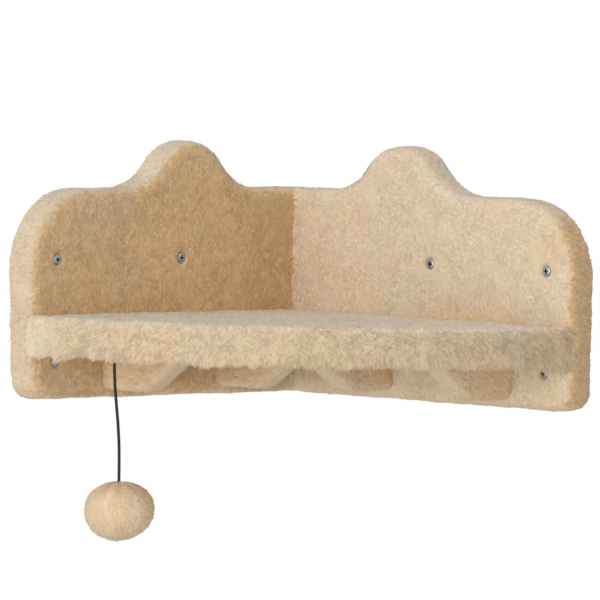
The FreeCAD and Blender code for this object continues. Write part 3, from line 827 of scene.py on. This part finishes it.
# Shelf
def build_shelf():
    def top_share(points, normals):
        return ramp(normals[:, 2], 0.4, 0.9)

    def at_rim(points):
        return rim_distance(points) > SHELF_RADIUS - RIM_WIDTH

    def at_foot(points, what):
        """From 0 at the height where something starts to 1 at the skirt's foot."""
        return ramp(-points[:, 2], -SHELF_FOOT - FOOT_HEIGHTS[what], -SHELF_FOOT)

    def inset(points, normals):
        """Drawn in, but not off the panels or upwards, and sagging at the foot of the rim."""
        against_panel = (points[:, :1] < PANEL + JOINT_BAND) | (points[:, 1:2] > -PANEL - JOINT_BAND)
        below = np.minimum(normals[:, 2:], 0) * -DOWN
        rim = ramp(rim_distance(points), SHELF_RADIUS - RIM_WIDTH, SHELF_RADIUS - RIM_EDGE)
        sag = (SAG + layered_noise(points, SAG_NOISE, 35)) * rim * at_foot(points, "sag")
        return np.where(against_panel, 0.0, -SKIN_INSET * (normals - below)) + sag[:, None] * DOWN

    def unwanted(middles, normals):
        under = (normals[:, 2] < -0.7) & (middles[:, 2] > (SHELF_FOOT + BOARD_FOOT) / 2)
        return under & ~at_rim(middles)

    def skirt_weight(points, normals, half):
        outwards = at_rim(points) & (normals[:, 2] > -0.8)
        density = 1 + SKIRT_DENSITY * at_foot(points, "density")
        on_half = (points[:, 0] + points[:, 1] > 0) == (half == "right")
        return outwards * (1 - top_share(points, normals)) * density * on_half

    def outward(points):
        flat = points - np.array((PANEL, -PANEL, 0.0))
        flat[:, 2] = 0
        return unit(flat)

    def rim_turn(points):
        """Degrees round the rim from the shelf's left end."""
        return np.degrees(np.arctan2(points[:, 0] - PANEL, -PANEL - points[:, 1]))

    def at_right_end(points):
        return ramp(rim_turn(points), *RIGHT_END)

    def at_left_end(points):
        return 1 - ramp(rim_turn(points), *LEFT_END)

    def top_lie(points, normals):
        return -outward(points)

    def skirt_lie(points, normals):
        down, more = SKIRT_DOWN
        hang = DOWN * (down + more * at_foot(points, "lie")[:, None])
        to_end = -np.tanh((points[:, :1] + points[:, 1:2]) / SKIRT_PARTING)
        around = np.cross(outward(points), -DOWN)
        return hang + SKIRT_SIDEWAYS * to_end * around

    def skirt_length(points, normals):
        foot = at_foot(points, "fringe")
        extra = layered_noise(points, SKIRT_NOISE, 71)
        for middle, half, more in TUFTS:
            extra += more * np.exp(-(((rim_turn(points) - middle) / half) ** 2))
        return SKIRT_PILE + (SKIRT_FRINGE + extra) * foot + SKIRT_END * at_right_end(points)

    def skirt_lean(points, normals):
        return LEANS["skirt"] - END_LEAN * at_right_end(points)

    def skirt_hue(points, normals):
        upper = ramp(points[:, 2] - SHELF_FOOT, *UPPER_BAND)
        ends = SKIRT_HUES["left"] * at_left_end(points) + SKIRT_HUES["right"] * at_right_end(points)
        return SKIRT_HUES["middle"] + SKIRT_HUES["upper"] * upper + ends

    def skirt_light(points, normals):
        return SKIRT_LIGHTS["middle"] + SKIRT_LIGHTS["left"] * at_left_end(points)

    nodes = ["shelf_cover", "shelf_board", "shelf_foam_pad"]
    skin = plush_skin("shelf_plush", nodes, SOFTENING["shelf"], inset, unwanted, 31)
    piece = make_object("shelf_plush", skin, "perch", [PLUSH["right"]])
    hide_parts("shelf_cover", "shelf_foam_pad")
    top = {"count": STRANDS["top"], "seed": 300, "weight": top_share, "lie": top_lie, "turns": (0.35, 0.3),
           "lean": constant(LEANS["top"]), "length": constant(TOP_PILE), "bent": False, "thick": 1.2,
           "hue": constant(TOP_HUE), "patch": 0.5, "light": constant(TOP_LIGHT)}
    grow_pile("shelf_top_pile", skin, "perch", top)
    for half, seed in (("left", 400), ("right", 450)):
        skirt = {"count": STRANDS["skirt"], "seed": seed, "weight": partial(skirt_weight, half=half),
                 "lie": skirt_lie, "turns": (0.45, 0.5), "lean": skirt_lean, "length": skirt_length,
                 "bent": True, "thick": 0.7, "hue": skirt_hue, "patch": 0.3, "light": skirt_light}
        grow_pile(half + "_skirt_pile", skin, "perch", skirt)


# Brackets
def build_bracket(bracket):
    side = bracket.split("_")[0]
    wall = WALL_NORMALS[side]
    cover = bracket + "_bracket_cover"

    def inset(points, normals):
        out = off_wall(points, side)[:, None]
        joined = (points[:, 2:] > BOARD_FOOT - JOINT_BAND) | (out < PANEL + JOINT_BAND)
        return np.where(joined, 0.0, -BRACKET_INSET * SKIN_INSET * normals)

    def unwanted(middles, normals):
        return (normals[:, 2] > 0.7) | (normals @ wall > 0.7)

    def weight(points, normals):
        return np.where((normals[:, 2] > 0.5) | (normals @ wall > 0.5), 0.0, 1.0)

    def lie(points, normals):
        return np.tile(BRACKET_DROOP * DOWN + wall, (len(points), 1))

    def hue(points, normals):
        # Painted shade: deeper on faces that look along X next to the panel
        deeper, length = BRACKET_ROOT_SHADE
        shaded = ramp(normals[:, 0], 0.3, 0.8) * (1 - ramp(off_wall(points, side), PANEL, PANEL + length))
        return BRACKET_HUES[side] + BRACKET_SLOPES[side] * np.minimum(normals[:, 2], 0) - deeper * shaded

    def light(points, normals):
        # Painted shade: darker on faces that look down
        return BRACKET_LIGHTS[side] + BRACKET_UNDERSIDE_SHADE[side] * np.minimum(normals[:, 2], 0)

    name = bracket + "_bracket_plush"
    nodes = [cover, bracket + "_bracket_board"]
    skin = plush_skin(name, nodes, SOFTENING["bracket"], inset, unwanted, 51)
    piece = make_object(name, skin, "perch", [PLUSH["right"]])
    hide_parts(cover)
    coat = {"count": STRANDS["bracket"], "seed": 500 + 50 * BRACKETS.index(bracket), "weight": weight,
            "lie": lie, "turns": (0.5, 0.4), "lean": constant(LEANS["bracket"]),
            "length": constant(BRACKET_PILE), "bent": False, "thick": 1.2, "hue": hue, "patch": 0.4,
            "light": light}
    grow_pile(bracket + "_bracket_pile", skin, "perch", coat)


# The hanging toy
def toy_point(sideways, height):
    """A place on the cord's upright plane, measured from the eye."""
    turn = math.radians(BOW_ANGLE)
    eye = node_middle("toy_screw_eye")
    return Vector((eye[0] + sideways * math.cos(turn), eye[1] + sideways * math.sin(turn), height))


def cord_curve(name, radius):
    """The cord's route as one smooth spline, with a round section of that radius."""
    curve = bpy.data.curves.new(name, "CURVE")
    curve.dimensions = "3D"
    curve.resolution_u = 16
    curve.bevel_depth = radius
    curve.bevel_resolution = 5
    curve.use_fill_caps = True
    points = [toy_point(*spot) for spot in (CORD_TOP, *CORD_ROUTE, CORD_BOTTOM)]
    spline = curve.splines.new("NURBS")
    spline.points.add(len(points) - 1)
    for control, point in zip(spline.points, points):
        control.co = (*point, 1.0)
    spline.order_u = 3
    spline.use_endpoint_u = True
    return curve


def curve_mesh(name, radius):
    curve = cord_curve(name, radius)
    holder = new_object(name, curve)
    bpy.context.view_layer.update()
    mesh = bpy.data.meshes.new_from_object(holder.evaluated_get(bpy.context.evaluated_depsgraph_get()))
    bpy.data.objects.remove(holder)
    bpy.data.curves.remove(curve)
    return mesh


def build_cord(ball_pieces):
    line = curve_mesh("toy_cord_line", 0.0)
    mesh = curve_mesh("toy_cord_tube", CORD_RADIUS)
    make_smooth(mesh)
    cord = make_object("toy_cord_elastic", mesh, None, [CORD])
    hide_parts("toy_cord")
    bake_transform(cord)
    loop = build_loop()


def build_loop():
    """The cord's turn round the eye, with the knot that closes it."""
    low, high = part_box("cord_loop")
    middle = Vector(node_middle("cord_loop"))
    major = (high[2] - low[2]) / 2 - CORD_RADIUS
    around, across = LOOP_FACES
    thicker, reach = LOOP_KNOT
    rings = []
    for i in range(around):
        turn = 2 * math.pi * i / around
        knot = math.exp(-((math.cos(turn / 2 + math.pi / 4) / reach) ** 2))
        radius = LOOP_SHARE * CORD_RADIUS * (1 + thicker * knot)
        out = Vector((math.cos(turn), 0.0, math.sin(turn)))
        ring = []
        for j in range(across):
            roll = 2 * math.pi * j / across
            beside = Vector((0.0, radius * math.sin(roll), 0.0))
            ring.append(middle + out * (major + radius * math.cos(roll)) + beside)
        rings.append(ring)
    mesh = ring_mesh("cord_loop_elastic", rings, closed=True)
    loop = make_object("cord_loop_elastic", mesh, "toy_loop", [CORD])
    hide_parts("cord_loop")
    return loop


def ball_fold(turn):
    """How deep the gathers at the ball's top are at a turn round its axis, from 0 to 1."""
    uneven, start = FOLD_SHIFT
    return 0.5 + 0.5 * np.cos(GATHERS * turn + uneven * np.sin(2 * turn + start))


def ball_mesh(middle, half_width, half_height):
    """A stuffed ball, a little flat, gathered into folds where the cord goes in."""
    around, rows = BALL_RINGS
    rings = []
    for i in range(1, rows):
        polar = math.pi * i / rows
        gather = math.exp(-((polar / math.radians(GATHER_ANGLE)) ** 2))
        ring = []
        for j in range(around):
            turn = 2 * math.pi * j / around
            fold = ball_fold(turn)
            out = math.sin(polar) ** FULLNESS * half_width * (1 - GATHER_DEPTH * gather * fold)
            lopsided = 1 + BULGE * math.cos(turn - BULGE_TURN) * math.sin(polar)
            lift = BULGE_LIFT * max(math.cos(turn - BULGE_TURN), 0.0) * math.sin(polar)
            up = math.cos(polar) * half_height - GATHER_DROP * gather * fold + lift
            ring.append((middle[0] + out * lopsided * math.cos(turn),
                         middle[1] + out * lopsided * math.sin(turn), middle[2] + up))
        rings.append(ring)
    return ring_mesh("ball_plush", rings, closed=False)


def build_ball():
    low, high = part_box("ball_cover")
    middle = np.array(node_middle("ball_cover"))
    half_width = (high[0] - low[0]) / 2
    half_height = (high[2] - low[2]) / 2
    skin = ball_mesh(middle, half_width - SKIN_INSET, half_height - SKIN_INSET)

    def polar(points):
        flat = points - middle
        return np.degrees(np.arctan2(np.hypot(flat[:, 0], flat[:, 1]), flat[:, 2]))

    def gathered(points):
        return 1 - ramp(polar(points), *GATHER_FADES["hue"])

    def weight(points, normals):
        return np.where(polar(points) < BALL_BARE, 0.0, 1.0)

    def turn(points):
        return np.arctan2(points[:, 1] - middle[1], points[:, 0] - middle[0])

    def lie(points, normals):
        front = ramp(-(normals @ BALL_BRUSHED), 0.35, 0.85)[:, None]
        parting, height = BALL_PARTING
        away = BALL_BRUSHED + parting * np.tanh((points[:, 2:] - middle[2]) / height) * -DOWN
        return (1 - front) * away + front * DOWN

    def length(points, normals):
        short, longer = BALL_PILE
        return short + longer * ramp(polar(points), *GATHER_FADES["length"])

    def light(points, normals):
        # Painted light on the side turned from the key lamp, and a painted highlight on the gathers' ridges
        painted_light = ramp(normals @ PAINTED_LIGHT_SIDE, 0.1, 0.8)
        ridges = gathered(points) * (1 - ball_fold(turn(points)))
        return BALL_LIGHTS["plain"] + BALL_LIGHTS["painted_light"] * painted_light + BALL_LIGHTS["ridges"] * ridges

    def hue(points, normals):
        # Painted highlight on the gathers' ridges and painted shade in their folds
        on_ridge, into_fold = GATHER_HUES
        gathers = on_ridge + into_fold * ball_fold(turn(points))
        bands = BAND_HUE * np.cos((turn(points) - BAND_TURN) * 2 * math.pi / BAND_PITCH)
        return BALL_HUE + gathered(points) * gathers + bands * (1 - gathered(points))

    piece = make_object("ball_plush", skin, "toy_ball", [PLUSH["right"]])
    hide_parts("ball_cover", "ball_filling")
    coat = {"count": STRANDS["ball"], "seed": 800, "weight": weight, "lie": lie, "turns": (0.35, 0.4),
            "lean": constant(LEANS["ball"]), "length": length, "bent": False, "thick": 1.1, "hue": hue,
            "patch": 0.2, "light": light}
    return [piece, grow_pile("ball_pile", skin, "toy_ball", coat)]


# Carried-over pieces
def finish_nodes():
    """Materials for the CAD nodes that stay."""
    zinc = metal_material("zinc_plate", (0.50, 0.53, 0.54), (0.32, 0.35, 0.36), 0.3, 0.5)
    wire = metal_material("staple_wire", (0.62, 0.62, 0.60), (0.42, 0.42, 0.41), 0.3, 0.5)
    board = board_material()
    by_slot = {"board": board, "zinc": zinc, "staple_wire": wire, "cord": CORD}
    for part in frame["record"]["subparts"]:
        node = frame["nodes"][part["node"]]
        if node.hide_render:
            continue
        node.data.materials.clear()
        node.data.materials.append(by_slot[part["material_slot"]])
    darken_recesses(frame["nodes"]["wall_screws"].data)


def darken_recesses(mesh):
    """Painted shade: a darker metal inside the cross recesses of the wall screws."""
    mesh.materials.append(metal_material("screw_recess_shade", (0.05, 0.05, 0.05), (0.02, 0.02, 0.02), 0.5, 0.7))
    middles = face_arrays(mesh)[0]
    inside = np.zeros(len(middles), bool)
    least, most = RECESS_DEPTHS
    for side in SIDES:
        near = screw_distance(middles, side) < RECESS_REACH
        sunk = off_wall(middles[near], side).max() - off_wall(middles, side)
        inside |= near & (sunk > least) & (sunk < most)
    mesh.polygons.foreach_set("material_index", inside.astype(int))


# Stage
def build_stage():
    mesh = bpy.data.meshes.new("floor")
    half = FLOOR_SIZE / 2
    corners = [(x * half, y * half, FLOOR_HEIGHT) for x, y in ((-1, -1), (1, -1), (1, 1), (-1, 1))]
    mesh.from_pydata(corners, [], [(0, 1, 2, 3)])
    pale = new_material("pale_floor", Base_Color=(0.88, 0.88, 0.88, 1.0), Roughness=0.9)
    mesh.materials.append(pale[0])
    floor = new_object("floor", mesh)

    world = bpy.data.worlds.new("studio")
    bpy.context.scene.world = world
    world.use_nodes = True
    tree = world.node_tree
    background = tree.nodes["Background"]
    background.inputs["Color"].default_value = (1.0, 1.0, 1.0, 1.0)
    rays = add_node(tree, "LightPath")
    seen = rays.outputs["Is Camera Ray"]
    for kind in ("Is Glossy Ray", "Is Transmission Ray"):
        seen = add_node(tree, "Math", {0: seen, 1: rays.outputs[kind]}, operation="MAXIMUM").outputs[0]
    level = add_node(tree, "MapRange", {"Value": seen, "To Min": WORLD_STRENGTH, "To Max": 1.0})
    tree.links.new(level.outputs["Result"], background.inputs["Strength"])

    for name, (azimuth, elevation, softness, strength) in LAMPS.items():
        light = bpy.data.lights.new(name, "SUN")
        light.energy = strength
        light.angle = math.radians(softness)
        lamp = new_object(name, light)
        lamp.rotation_mode = "QUATERNION"
        lamp.rotation_quaternion = (-direction(azimuth, elevation)).to_track_quat("-Z", "Y")


def direction(azimuth, elevation):
    """From the object towards a place at that azimuth and elevation, in degrees."""
    a, e = math.radians(azimuth), math.radians(elevation)
    return Vector((math.sin(a) * math.cos(e), -math.cos(a) * math.cos(e), math.sin(e)))


def build_camera():
    back = direction(AZIMUTH, ELEVATION)
    level = Vector((0.0, 0.0, 1.0)).cross(back).normalized()
    upright = back.cross(level)
    roll = math.radians(ROLL)
    right = math.cos(roll) * level + math.sin(roll) * upright
    up = back.cross(right)
    camera = new_object("camera", bpy.data.cameras.new("camera"))
    camera.data.lens = LENS
    camera.data.sensor_width = SENSOR
    camera.data.clip_end = 100.0
    place = Matrix((right, up, back)).transposed().to_4x4()
    place.translation = Vector(AIM) + back * DISTANCE
    camera.matrix_world = place
    bpy.context.scene.camera = camera


bpy.context.scene.view_settings.view_transform = "Standard"
PILE = pile_materials()
CORD = cord_material()
PLUSH = {
    # The deeper plush is painted shade, on the panels' faces turned from the key lamp
    "left": plush_material("plush_deep_shade", (0.55, 0.36, 0.18), (0.78, 0.54, 0.29)),
    "right": plush_material("plush_pale", (0.60, 0.46, 0.29), (0.76, 0.62, 0.44)),
}
build_camera()
build_cord(build_ball())
for panel_side in SIDES:
    build_panel(panel_side)
build_shelf()
for bracket_name in BRACKETS:
    build_bracket(bracket_name)
finish_nodes()
build_stage()
